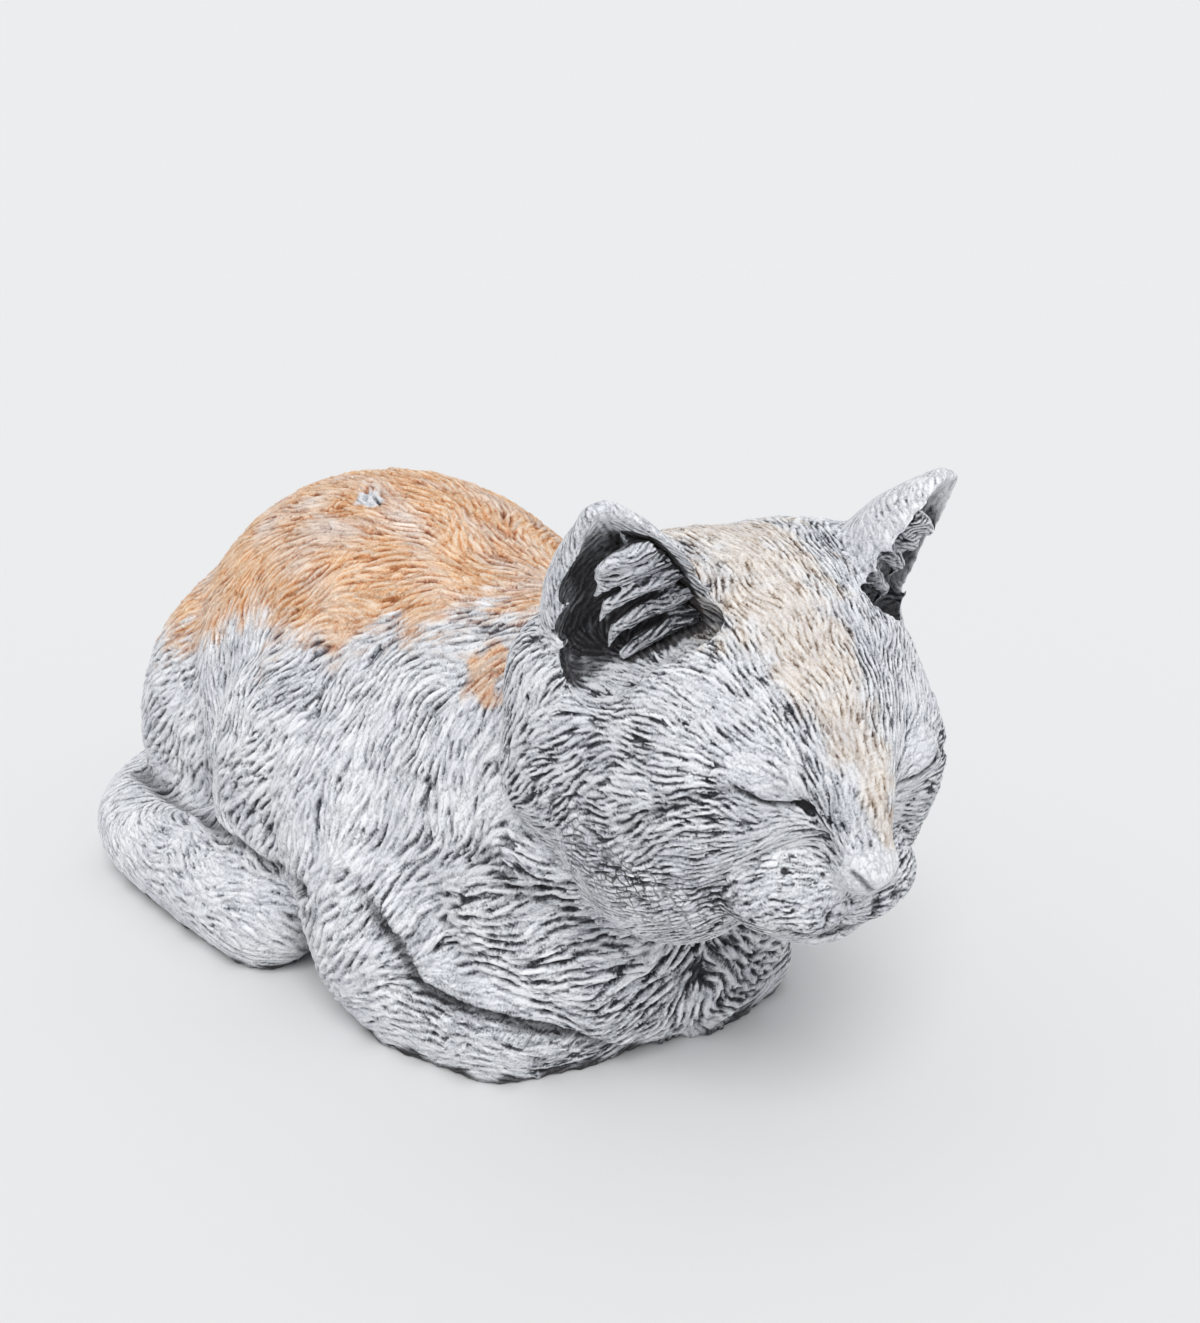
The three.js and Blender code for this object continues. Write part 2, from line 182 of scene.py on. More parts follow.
def smooth_form(bm, rounds, verts):
    for _ in range(rounds):
        bmesh.ops.smooth_vert(bm, verts=verts, factor=0.5, use_axis_x=True, use_axis_y=True, use_axis_z=True)


def islands(items, beside):
    """Groups of items that hang together. beside gives an item's neighbours."""
    seen, groups = set(), []
    for start in items:
        if start in seen:
            continue
        seen.add(start)
        queue, group = [start], []
        while queue:
            item = queue.pop()
            group.append(item)
            for other in beside(item):
                if other not in seen:
                    seen.add(other)
                    queue.append(other)
        groups.append(group)
    return groups


def drop_specks(bm, least=400):
    """Deletes loose specks that the welding left round sharp edges."""
    for group in islands(bm.verts[:], lambda vert: [edge.other_vert(vert) for edge in vert.link_edges]):
        if len(group) < least:
            bmesh.ops.delete(bm, geom=group, context="VERTS")


def drop_faces(bm, faces):
    """Deletes these faces and the vertices that no other face holds."""
    bmesh.ops.delete(bm, geom=faces, context="FACES")
    bmesh.ops.delete(bm, geom=[v for v in bm.verts if not v.link_faces], context="VERTS")


def run_on(ring, face_section):
    """Adds rings of faces round the kept ones. Each takes the section of the face that it runs on from."""
    edge = list(ring)
    for step in range(1, BEYOND_SEAM + 1):
        beyond = []
        for face in edge:
            for side in face.edges:
                for other in side.link_faces:
                    if other not in ring:
                        ring[other] = step
                        face_section[other] = face_section[face]
                        beyond.append(other)
        edge = beyond


def coarse_skin(kept, voxel, rounds, ear_rounds=3):
    """One smooth skin over the kept sections. Faces carry their section, vertices how far they tuck under."""
    bm = bmesh.new()
    bm.from_mesh(blocked_out(BODY + HEAD, voxel))
    section_layer = bm.faces.layers.int.new("section")
    tuck_layer = bm.verts.layers.float.new("tuck")
    bm.normal_update()
    drop_faces(bm, [f for f in bm.faces if f.normal.z < -0.7 and f.calc_center_median().z < GROUND * MM])
    bm.verts.index_update()
    rim = [v for v in bm.verts if v.is_boundary]
    at_ear = {SECTIONS.index("right_ear"), SECTIONS.index("left_ear")}
    section = [nearest_section(v.co) for v in bm.verts]
    plain = [v for v in bm.verts if section[v.index] not in at_ear and not v.is_boundary]
    ears = [v for v in bm.verts if section[v.index] in at_ear]
    smooth_form(bm, rounds, plain)
    smooth_form(bm, ear_rounds, ears)
    for vert in rim:
        vert.co.z = 0

    drop_specks(bm)
    wanted = {SECTIONS.index(name) for name in kept}
    face_section = {f: nearest_section(f.calc_center_median()) for f in bm.faces}
    ring = {f: 0 for f in bm.faces if face_section[f] in wanted}
    run_on(ring, face_section)
    drop_faces(bm, [f for f in bm.faces if f not in ring])
    for face in bm.faces:
        face[section_layer] = face_section[face]
    for vert in bm.verts:
        vert[tuck_layer] = max(ring[f] for f in vert.link_faces) / BEYOND_SEAM
    return as_mesh(bm, "coarse")


# Skins as arrays, in millimetres
class Skin:
    def __init__(self, mesh):
        self.mesh = mesh
        count = len(mesh.vertices)
        self.co = np.empty(count * 3)
        mesh.vertices.foreach_get("co", self.co)
        self.co = self.co.reshape(-1, 3) / MM
        quads = np.empty(len(mesh.loops), dtype=np.int64)
        mesh.loops.foreach_get("vertex_index", quads)
        self.quads = quads.reshape(-1, 4)
        self.refresh_normals()

    def refresh_normals(self):
        a, b, c, d = (self.co[corner] for corner in self.quads.T)
        self.normal = unit(self.gathered(np.cross(c - a, d - b)))

    def gathered(self, values):
        """Adds up at each vertex what the faces round it hold."""
        total = np.zeros((len(self.co), values.shape[1]))
        for corner in self.quads.T:
            for k in range(values.shape[1]):
                total[:, k] += np.bincount(corner, weights=values[:, k], minlength=len(self.co))
        return total

    def face_sections(self):
        held = np.empty(len(self.quads), dtype=np.int32)
        self.mesh.attributes["section"].data.foreach_get("value", held)
        return held

    def read(self, name, width=1):
        field = np.empty(len(self.co) * width)
        self.mesh.attributes[name].data.foreach_get("vector" if width == 3 else "value", field)
        return field.reshape(-1, 3) if width == 3 else field

    def write(self, name, field):
        kind = "FLOAT_VECTOR" if field.ndim == 2 else "FLOAT"
        layer = self.mesh.attributes.new(name, kind, "POINT")
        layer.data.foreach_set("vector" if field.ndim == 2 else "value", field.astype(np.float32).ravel())

    def swell(self, height):
        """Moves the skin out along its normals."""
        self.co += self.normal * height[:, None]

    def write_shape(self):
        self.mesh.vertices.foreach_set("co", (self.co * MM).astype(np.float32).ravel())
        self.mesh.update()

    def link_neighbours(self):
        """Each vertex's neighbours over edges and across faces: eight at most, filled up with itself."""
        count = len(self.co)
        a, b, c, d = self.quads.T
        here = np.concatenate([a, b, c, d, b, c, d, a, a, c, b, d])
        there = np.concatenate([b, c, d, a, a, b, c, d, c, a, d, b])
        pairs = np.unique(here * count + there)
        here, there = pairs // count, pairs % count
        rank = np.arange(len(here)) - np.searchsorted(here, np.arange(count))[here]
        table = np.tile(np.arange(count)[:, None], (1, 8))
        kept = rank < 8
        table[here[kept], rank[kept]] = there[kept]
        self.near = table

    def blurred(self, field, rounds):
        """A field evened out with its neighbours, round by round."""
        for _ in range(rounds):
            field = (field + field[self.near].mean(axis=1)) / 2
        return field


def unit(vectors):
    return vectors / np.maximum(np.linalg.norm(vectors, axis=-1, keepdims=True), 1e-9)


def laid_flat(ways, normals):
    """Directions laid along the surface."""
    return unit(ways - (ways * normals).sum(axis=1, keepdims=True) * normals)


def ease(low, high, value):
    """A smooth step from 0 at low to 1 at high."""
    share = np.clip((value - low) / (high - low), 0, 1)
    return share * share * (3 - 2 * share)


def ripple(points, wavelength, seed, waves=10):
    """Smooth noise between about -1 and 1."""
    draw = np.random.default_rng(seed)
    turns = unit(draw.normal(size=(waves, 3))) * draw.uniform(0.7, 1.5, (waves, 1))
    turns *= 2 * np.pi / wavelength
    phase = draw.uniform(0, 2 * np.pi, waves)
    return np.sin(points @ turns.T + phase).sum(axis=1) / math.sqrt(waves / 2)


# Places read from the photograph, in its pixels, cast onto the plain form
def plain_form(names):
    """These sections welded, as a tree to cast rays at."""
    bm = bmesh.new()
    bm.from_mesh(blocked_out(names, 2.0))
    return BVHTree.FromBMesh(bm)


form_tree = plain_form(SECTIONS)
solid_tree = plain_form(BODY + HEAD)


def cast(pixels):
    """The points of the plain form that lie behind these pixels of the photograph."""
    places = []
    for across, down in pixels:
        ray = RIGHT * (across - PHOTO_WIDTH / 2) + UP * (PHOTO_HEIGHT / 2 - down) - BACK * FOCUS
        hit = form_tree.ray_cast(EYE, ray.normalized())[0]
        if hit is not None:
            places.append(np.array(hit) / MM)
    return np.array(places)


def on_both_sides(pixels, in_head):
    """A line cast onto the near side, and its mirror image on the far one."""
    line = cast(pixels)
    return line, mirrored(line, in_head)


def distance_to_line(points, line, widths=None):
    """Distance from each point to a line of points, as a share of the line's own width there."""
    best = np.full(len(points), np.inf)
    widths = np.ones(len(line)) if widths is None else np.asarray(widths, float)
    for i in range(max(len(line) - 1, 1)):
        start, end = line[i], line[min(i + 1, len(line) - 1)]
        bone = end - start
        share = np.clip((points - start) @ bone / max(bone @ bone, 1e-9), 0, 1)
        width = widths[i] + (widths[min(i + 1, len(widths) - 1)] - widths[i]) * share
        gap = np.linalg.norm(points - start - share[:, None] * bone, axis=1)
        best = np.minimum(best, gap / width)
    return best


# The lie of the coat: arrows from root to tip, read from the photograph, mirrored for the hidden side
HEAD_COMB = [
    (1300, 450, 1240, 250), (1200, 200, 1140, 0), (1000, 250, 830, 100), (800, 150, 600, 30),
    (600, 250, 350, 190), (400, 300, 200, 310), (700, 350, 400, 290), (200, 250, 50, 290),
    (100, 350, 0, 410), (600, 500, 350, 540), (850, 520, 600, 550), (1100, 560, 850, 600),
    (700, 620, 450, 660), (1250, 600, 1000, 690), (1000, 700, 760, 760), (700, 780, 450, 770),
    (300, 600, 100, 580), (200, 700, 60, 630), (400, 850, 200, 760), (650, 960, 400, 900),
    (900, 910, 650, 960), (1250, 830, 1000, 870), (1200, 930, 950, 940), (1300, 700, 1150, 760),
    (1450, 600, 1430, 430), (1400, 780, 1250, 830), (900, 420, 700, 390), (1150, 420, 980, 390),
    (500, 420, 250, 430),
]
CROWN_COMB = [
    (700, 480, 640, 330), (560, 330, 470, 220), (450, 320, 400, 230), (780, 520, 765, 370),
    (860, 620, 870, 480), (640, 260, 600, 190), (300, 520, 180, 500), (220, 620, 100, 640),
    (100, 640, 20, 700), (60, 480, 40, 600), (30, 620, 20, 740), (520, 480, 420, 380),
    (380, 560, 250, 520), (740, 330, 730, 230), (820, 760, 830, 640), (150, 560, 60, 620),
]
FLANK_COMB = [
    (250, 420, 130, 520), (280, 600, 160, 720), (300, 700, 260, 790), (400, 300, 385, 500),
    (520, 100, 460, 300), (480, 400, 420, 560), (520, 640, 400, 720), (600, 800, 480, 920),
    (650, 950, 600, 1080), (800, 350, 660, 560), (850, 600, 740, 800), (820, 820, 770, 980),
    (1000, 450, 900, 650), (980, 750, 900, 930), (1350, 280, 1150, 330), (1150, 350, 1060, 500),
    (1300, 560, 1270, 760), (1450, 420, 1380, 600), (1080, 700, 1040, 880), (1200, 850, 1130, 1020),
    (1020, 980, 860, 1120), (1400, 800, 1350, 950), (1000, 60, 780, 130), (700, 160, 560, 260),
    (1350, 1020, 1230, 1100), (60, 900, 200, 1000), (300, 1000, 450, 1100), (450, 1130, 600, 1180),
]
RUFF_COMB = [
    (1130, 450, 980, 510), (1170, 480, 1100, 620), (1250, 480, 1230, 620), (1330, 450, 1370, 560),
    (900, 540, 720, 600), (600, 560, 400, 590), (450, 420, 250, 430), (250, 330, 100, 300),
    (700, 680, 500, 690), (900, 680, 760, 720), (120, 120, 40, 200), (700, 420, 520, 400),
    (220, 650, 60, 620), (420, 730, 250, 700), (560, 800, 450, 790), (350, 250, 200, 230),
    (780, 800, 640, 800), (160, 720, 40, 700),
]
FACE_COMB = [
    (860, 440, 720, 600), (700, 350, 500, 340), (770, 400, 580, 470), (520, 420, 300, 440),
    (600, 520, 380, 600), (480, 600, 300, 680), (300, 360, 100, 420), (250, 480, 60, 520),
    (860, 180, 810, 40), (760, 170, 640, 50), (640, 230, 480, 150), (500, 230, 300, 170),
    (300, 220, 100, 150), (770, 285, 600, 265), (1080, 520, 1040, 380), (900, 250, 895, 120),
    (960, 420, 930, 300), (1080, 760, 900, 720), (900, 620, 740, 590), (880, 720, 700, 720),
    (1000, 830, 850, 790), (700, 760, 520, 770), (800, 860, 640, 850), (640, 640, 480, 690),
    (1000, 960, 800, 985), (760, 960, 560, 975), (350, 800, 150, 850), (330, 900, 180, 975),
]
CROPS = [  # comb, the crop's corner in the photograph, its scale, and whether it is mirrored with the head
    (HEAD_COMB, (500, 690), 4, True),
    (CROWN_COMB, (500, 430), 2, True),
    (FACE_COMB, (640, 740), 4.9, True),
    (FLANK_COMB, (120, 600), 4, False),
    (RUFF_COMB, (430, 860), 4, False),
]
HIDDEN_COMB = [  # places and directions in millimetres, for what the photograph doesn't show
    ((0, -60, 175), (0, 1, -0.1)), ((0, 0, 182), (0, 1, -0.05)), ((0, 60, 178), (0, 1, -0.25)),
    ((0, 120, 145), (0, 1, -0.9)), ((0, 165, 90), (0, 0.3, -1)), ((0, 170, 40), (0, 0.2, -1)),
    ((60, 150, 80), (0.2, 0.3, -1)), ((-60, 150, 80), (-0.2, 0.3, -1)), ((50, 120, 120), (0.2, 0.7, -0.8)),
    ((-50, 120, 120), (-0.2, 0.7, -0.8)), ((0, -110, 175), (0, 1, -0.3)), ((50, -60, 140), (0.4, 1, -0.5)),
    ((-20, 30, 180), (-0.1, 1, -0.1)), ((20, 30, 180), (0.1, 1, -0.1)), ((85, 100, 60), (0.2, 0.6, -1)),
]
HIDDEN_HEAD_COMB = [  # the same, in the head's frame
    ((0, 20, 66), (0, 1, 0.05)), ((0, 50, 50), (0, 1, -0.6)), ((0, 62, 15), (0, 0.4, -1)),
    ((40, 45, 10), (0.2, 0.5, -1)), ((-40, 45, 10), (-0.2, 0.5, -1)), ((0, -60, -45), (0, 1, -0.6)),
    ((62, -4, 60), (0.1, -0.05, 1)), ((-62, -4, 60), (-0.1, -0.05, 1)), ((55, 25, 60), (0, -0.4, 1)),
    ((-55, 25, 60), (0, -0.4, 1)), ((30, 25, 66), (0.5, -0.2, 1)), ((-30, 25, 66), (-0.5, -0.2, 1)),
    ((0, -72, 0), (0, 0.5, 1)), ((0, -45, -46), (0, 1, 0)),
]


def comb_guides(longest=60):
    """The places and directions of all arrows. One longer than this leaps from one section to another."""
    places, ways = [], []
    for arrows, corner, scale, in_head in CROPS:
        for x0, y0, x1, y1 in arrows:
            ends = cast([(corner[0] + x / scale, corner[1] + y / scale) for x, y in ((x0, y0), (x1, y1))])
            if len(ends) < 2 or np.linalg.norm(ends[1] - ends[0]) > longest:
                continue
            for pair in (ends, mirrored(ends, in_head)):
                places.append(pair.mean(axis=0))
                ways.append(pair[1] - pair[0])
    for place, way in HIDDEN_COMB:
        places.append(np.array(place, float))
        ways.append(np.array(way, float))
    for place, way in HIDDEN_HEAD_COMB:
        places.append(from_head(np.array(place, float)))
        ways.append(HEAD_AXES @ np.array(way, float))
    return np.array(places), unit(np.array(ways))


def combed(points, normals, blend=9.0):
    """The direction of the coat at each point, along the surface."""
    places, ways = comb_guides()
    flow = np.zeros_like(points)
    for place, way in zip(places, ways):
        weight = 1 / (((points - place) ** 2).sum(axis=1) + blend**2) ** 2
        flow += weight[:, None] * way
    return laid_flat(flow, normals)


def sheltered(points, normals, reach=50, rays=12, ground_share=0.6):
    """How far each point is closed in by the form and the ground: the share of short rays that meet them."""
    reach = reach * MM
    directions = []
    for i in range(rays):
        rise = 0.2 + 0.75 * (i + 0.5) / rays
        golden = i * math.pi * (3 - math.sqrt(5))
        flat = math.sqrt(1 - rise * rise)
        directions.append((flat * math.cos(golden), flat * math.sin(golden), rise))
    met = np.zeros(len(points))
    for i, (point, normal) in enumerate(zip(points, normals)):
        up = Vector(normal)
        start = Vector(point) * MM + up * 2 * MM
        first = up.orthogonal().normalized()
        second = up.cross(first)
        for x, y, z in directions:
            ray = first * x + second * y + up * z
            if ray.z < -0.3 and start.z + ray.z * reach < 0:
                met[i] += ground_share
            elif form_tree.ray_cast(start, ray, reach)[0] is not None:
                met[i] += 1
    return met / rays


# Fur
def turned(ways, normals, angle):
    """Directions turned about the normals."""
    return ways * np.cos(angle)[:, None] + np.cross(normals, ways) * np.sin(angle)[:, None]


def pairs_within(stamps, cloud, reach):
    """Yields pairs of stamp and vertex that lie in neighbouring cells of one grid, reach wide."""
    low = cloud.min(axis=0) - 2 * reach
    shape = ((cloud.max(axis=0) + 2 * reach - low) // reach).astype(np.int64) + 2

    def cell(points):
        x, y, z = ((points - low) // reach).astype(np.int64).T
        return (x * shape[1] + y) * shape[2] + z

    home = cell(cloud)
    order = np.argsort(home, kind="stable")
    held = np.bincount(home, minlength=int(shape.prod()))
    first = np.concatenate([[0], np.cumsum(held)])
    inside = cell(np.clip(stamps, low + reach, low + (shape - 2) * reach))
    for dx in (-1, 0, 1):
        for dy in (-1, 0, 1):
            for dz in (-1, 0, 1):
                there = inside + (dx * shape[1] + dy) * shape[2] + dz
                many = held[there]
                stamp = np.repeat(np.arange(len(stamps)), many)
                step = np.arange(len(stamp)) - np.repeat(np.cumsum(many) - many, many)
                yield stamp, order[first[there][stamp] + step]


def laid_strands(skin, flow, pitch, length, cover, stride, sway, seed, shingle=0.5):
    """Lays tapered strands along the flow. For each vertex, gives the height of the topmost strand, that
    strand's tone, how near to its edge the vertex is, and the place in its lane."""
    draw = np.random.default_rng(seed)
    a, b, _, d = (skin.co[corner] for corner in skin.quads.T)
    face_area = np.linalg.norm(np.cross(b - a, d - a), axis=1).mean()
    chance = cover * face_area / (pitch * length)
    at = np.flatnonzero(draw.random(len(skin.co)) < chance)
    steps = np.maximum(2, length[at] / stride).astype(int)
    wander = draw.normal(0, 1, len(at)) * sway
    bend = draw.normal(0, 1, len(at)) * sway * 0.6
    tall = draw.uniform(0.7, 1, len(at))
    half = pitch[at] * draw.uniform(0.5, 0.72, len(at))
    tone = draw.uniform(0, 1, len(at))
    place = skin.co[at].copy()
    record = []
    for step in range(steps.max()):
        alive = np.flatnonzero(step < steps)
        spot = at[alive]
        share = step / steps[alive]
        way = turned(flow[spot], skin.normal[spot], wander[alive] + bend[alive] * np.sin(6 * share))
        record.append((alive, place[alive].copy(), way, np.cross(skin.normal[spot], way), share))
        onward = place[alive] + way * stride
        choice = skin.near[skin.near[spot]].reshape(len(spot), -1)
        far = ((skin.co[choice] - onward[:, None, :]) ** 2).sum(axis=2)
        spot = choice[np.arange(len(spot)), far.argmin(axis=1)]
        lift = ((onward - skin.co[spot]) * skin.normal[spot]).sum(axis=1, keepdims=True)
        at[alive] = spot
        place[alive] = onward - lift * skin.normal[spot]
    who, where, way, side, share = (np.concatenate(part) for part in zip(*record))
    winner = np.zeros(len(skin.co), dtype=np.int64)  # height in millionths and stamp, in one number
    room = 10_000_000  # more than there are stamps
    for stamp, vert in pairs_within(where, skin.co, half.max() * 1.05):
        gap = skin.co[vert] - where[stamp]
        along = (gap * way[stamp]).sum(axis=1)
        beside = np.linalg.norm(gap - along[:, None] * way[stamp], axis=1)
        strand = who[stamp]
        travel = share[stamp] + along / (stride * steps[strand])
        width = half[strand] * np.sqrt(np.clip(travel / 0.2, 0.15, 1)) * (1 - np.clip(travel, 0, 1) ** 3)
        kept = (np.abs(along) <= stride * 0.75) & (beside < width)
        stamp, vert, strand = stamp[kept], vert[kept], strand[kept]
        beside, width, travel = beside[kept], width[kept], travel[kept]
        rise = 1 - shingle + shingle * np.clip(travel, 0, 1)
        value = tall[strand] * rise * np.sqrt(1 - (beside / width) ** 2)
        np.maximum.at(winner, vert, (value * 1e6).astype(np.int64) * room + stamp)
    height, stamp = (winner // room) / 1e6, winner % room
    strand = who[stamp]
    gap = skin.co - where[stamp]
    beside = (gap * side[stamp]).sum(axis=1)
    travel = share[stamp] + (gap * way[stamp]).sum(axis=1) / (stride * steps[strand])
    width = half[strand] * (1 - np.clip(travel, 0, 0.97) ** 3)
    lane = np.stack([travel * stride * steps[strand], beside, tone[strand] * 500], axis=1)
    return height, tone[strand], np.clip(np.abs(beside) / width, 0, 1), lane


def combed_lines(skin, flow, seed, rounds=10):
    """Ridges side by side along the coat: noise is drawn out along the flow and sharpened across it."""
    toward = np.abs((unit(skin.co[skin.near] - skin.co[:, None, :]) * flow[:, None, :]).sum(axis=2))
    here = skin.near == np.arange(len(skin.co))[:, None]

    def shares(weight):
        weight = np.where(here, 1e-6, weight + 1e-6)
        return (weight / weight.sum(axis=1, keepdims=True)).astype(np.float32)

    def drawn_out(field, share, times):
        for _ in range(times):
            field = (field + (field[skin.near] * share).sum(axis=1)) / 2
        return field

    along, across = shares(toward**8), shares((1 - toward**2) ** 4)
    field = np.random.default_rng(seed).normal(size=len(skin.co)).astype(np.float32)
    for _ in range(rounds):
        narrow = drawn_out(drawn_out(field, along, 3), across, 1)
        field = narrow - drawn_out(narrow, across, 2)
        field *= 0.6 / max(field.std(), 1e-6)
        field = np.clip(field, -1, 1)
    return field.astype(float)


# Carving: lines in pixels of the photograph, with width and depth in millimetres
EYE_SLIT = [(733, 790), (748, 797), (761, 803), (775, 805), (790, 805), (804, 806), (812, 811)]
EYE_CREASE = [(733, 790), (707, 795), (680, 803), (650, 816), (622, 828)]
TEAR_LINE = [(812, 811), (820, 824), (827, 838), (833, 848)]
NOSTRIL = [(856, 873), (864, 880), (870, 886), (874, 893)]
LIP_CLEFT = [(874, 896), (873, 907), (870, 917)]
MOUTH = [(870, 917), (856, 925), (842, 929), (824, 932), (806, 932), (780, 932), (752, 932), (716, 938)]
PAD_EDGE = [(707, 892), (728, 878), (750, 865), (780, 852), (805, 845), (826, 841)]
FACE_LINES = [  # line, width, depth, painted shade
    (EYE_SLIT, 0.8, 1.8, 0.95), (EYE_CREASE, 1.7, 0.9, 0.2), (TEAR_LINE, 1.6, 0.9, 0.12),
    (NOSTRIL, 0.9, 1.5, 0.7), (LIP_CLEFT, 0.8, 1.4, 0.6), (MOUTH, 1.2, 1.5, 0.55), (PAD_EDGE, 3.6, 0.9, 0),
]
BRIDGE = [(868, 770), (882, 820), (888, 862)]
# line, width, depth, painted shade
BODY_LINES = [
    ([(222, 660), (217, 710), (212, 760), (206, 795)], 6.0, 2.0, 0.1),  # thigh
    ([(250, 655), (262, 700), (256, 745)], 6.0, 1.6, 0),
    ([(444, 997), (512, 1021), (581, 1036), (620, 1046)], 2.6, 2.2, 0.3),  # over the forearm
    ([(476, 848), (503, 885), (555, 903), (606, 942)], 6.5, 2.2, 0.3),  # below the cheek
    ([(318, 706), (306, 732), (300, 770)], 5.0, 1.8, 0),  # flank
    ([(400, 752), (385, 790), (372, 830)], 5.0, 1.4, 0),
    ([(322, 800), (312, 850)], 4.5, 1.4, 0),
    ([(388, 990), (400, 1015), (404, 1040)], 4.0, 1.6, 0),  # elbow
]
RUFF_FOLD = [(357, 881), (396, 934), (425, 984), (470, 1006), (530, 1025), (580, 1034), (619, 1041)]
TAIL_GROOVE = [(137, 770), (164, 792), (208, 815), (238, 845), (272, 872), (300, 892)]
CRACKED = [(577, 850), (620, 880), (680, 900), (715, 910)]  # the cheek that has fine cracks
LIPS = [(866, 906), (874, 906)]  # filled out to stand over the chin
CALM_SPOTS = [  # where the coat lies low: line, reach in millimetres, share
    ([(690, 680), (760, 740)], 15, 0.45), ([(742, 785), (800, 797)], 4.5, 0.5),
    ([(750, 825), (800, 840)], 8, 0.45), ([(760, 905), (840, 895)], 9, 0.35),
]
FACE_SHADE_AND_DIRT = [  # painted shade, and some dirt, between the strands: line, reach in millimetres, share
    ([(814, 802), (822, 790), (833, 815)], 4.5, 0.45), ([(712, 898), (724, 905)], 6, 0.4),
    ([(505, 790), (520, 850), (560, 890)], 8, 0.2), ([(735, 792), (690, 803), (640, 818)], 4, 0.4),
    ([(700, 938), (650, 948)], 7, 0.3), ([(690, 560), (712, 600)], 7, 0.3),
    ([(820, 926), (730, 930)], 5, 0.25),
]
# painted shade on the body, and some dirt at the base: line, reach in millimetres, share
BODY_SHADE_AND_DIRT = [
    ([(690, 965), (760, 985)], 12, 0.4), ([(395, 975), (440, 1012), (530, 1042)], 6, 0.4),
    ([(555, 1062), (602, 1052)], 9, 0.4), ([(360, 900), (420, 965)], 7, 0.25),
]
# Air bubbles of the casting: place, and radius in millimetres
BUBBLES = [((785, 870), 1.3), ((822, 875), 0.6), ((794, 911), 0.6), ((878, 816), 0.5), ((790, 858), 0.4)]


def on_skin(skin, line):
    """The vertices of the skin nearest to these points."""
    return np.array([skin.co[((skin.co - point) ** 2).sum(axis=1).argmin()] for point in line])


def nearness(skin, line, reach):
    """1 on the line, falling off smoothly over this reach."""
    return np.exp(-distance_to_line(skin.co, line) ** 2 / reach**2)


def carve(skin, line, width, depth, painted_shade):
    """Presses a groove along a line. Gives how much painted shade each vertex gets in it."""
    close = nearness(skin, on_skin(skin, line), width)
    skin.swell(-close * depth)
    return close * painted_shade


def spread(skin, spots, in_head):
    """How strongly these spots reach each vertex, on both sides of the statue: at most by their share."""
    field = np.zeros(len(skin.co))
    for line, reach, share in spots:
        for side in on_both_sides(line, in_head):
            field = np.maximum(field, share * nearness(skin, side, reach))
    return field


def fold(skin, line, hand, rise=2.3, reach=7.0):
    """Lets the coat on one hand of a line overhang the other. Gives the painted shadow under the overhang at
    each vertex.
    """
    line = on_skin(skin, line)
    best = np.full(len(skin.co), np.inf)
    side = np.zeros(len(skin.co))
    for start, end in zip(line[:-1], line[1:]):
        bone = end - start
        share = np.clip((skin.co - start) @ bone / (bone @ bone), 0, 1)
        gap = skin.co - start - share[:, None] * bone
        away = np.linalg.norm(gap, axis=1)
        closer = away < best
        turn = (np.cross(bone, gap) * skin.normal).sum(axis=1) * hand
        best[closer], side[closer] = away[closer], np.sign(turn[closer])
    over = best * side
    strength = ease(0, 18, np.linalg.norm(skin.co - line[0], axis=1))
    skin.swell(rise * strength * np.tanh(over / 0.9) * np.exp(-best / reach))
    return 0.75 * strength * np.exp(-((over + 1.6) ** 2) / 2.3**2)


# Stains: the lower edge of the ginger, a patch of it behind the ear, a worn spot on the back, the forehead
GINGER_EDGE = [(140, 668), (176, 648), (210, 640), (240, 612), (290, 640), (330, 648), (400, 622), (470, 622)]
GINGER_PATCH = (490, 668)
WORN_SPOT = (370, 497)
FOREHEAD = [(735, 530), (785, 610), (835, 690), (866, 755), (884, 830)]
FOREHEAD_WIDTHS = [24, 22, 14, 9, 7]


def stain_masks(skin, tone):
    """How much ginger and how much buff stain each vertex has."""
    edge = cast(GINGER_EDGE)
    order = edge[:, 1].argsort()
    line = np.interp(skin.co[:, 1], edge[order, 1], edge[order, 2])
    line += 4 * ripple(skin.co, 38, 21) + 2 * ripple(skin.co, 11, 22) + 9 * (tone - 0.5)
    ginger = ease(-8, 10, skin.co[:, 2] - line) * ease(-112, -92, skin.co[:, 1])
    patch = distance_to_line(skin.co, cast([GINGER_PATCH])) + 2.5 * ripple(skin.co, 12, 23)
    ginger = np.maximum(ginger, 1 - ease(8, 15, patch))
    worn = distance_to_line(skin.co, cast([WORN_SPOT])) + 2 * ripple(skin.co, 9, 24)
    ginger *= ease(3, 9, worn)
    ginger *= 0.9 + 0.14 * ripple(skin.co, 26, 25) + 0.12 * (tone - 0.5)
    crown = distance_to_line(skin.co, cast(FOREHEAD), FOREHEAD_WIDTHS) + 0.3 * (tone - 0.5)
    crown += 0.2 * ripple(skin.co, 16, 26) + 0.1 * ripple(skin.co, 6, 27)
    return np.clip(ginger, 0, 1), 1 - ease(0.3, 1.3, crown)


# Coat of each section: strand pitch, length and depth in millimetres, and how much darker its grooves are
COAT = {
    "trunk": (2.4, 14, 1.2, 0.5), "rump": (2.4, 12, 1.2, 0.46), "thigh": (2.4, 13, 1.4, 0.58),
    "upper_arm": (2.3, 13, 1.5, 0.42), "chest": (2.4, 14, 1.8, 0.72), "forearm": (1.8, 10, 0.6, 0.5),
    "tail": (1.9, 10, 0.8, 0.4), "head": (1.6, 10, 0.95, 0.76), "muzzle": (1.4, 5, 0.5, 0.72),
    "nose": (1.4, 4, 0.12, 0.15), "chin": (1.5, 5, 0.45, 0.4), "eyelid": (1.5, 6, 0.3, 0.4),
    "right_ear": (1.5, 5, 0.4, 0.5), "left_ear": (1.5, 5, 0.3, 0.28), "ear_fur": (1.6, 10, 0.7, 0.7),
}


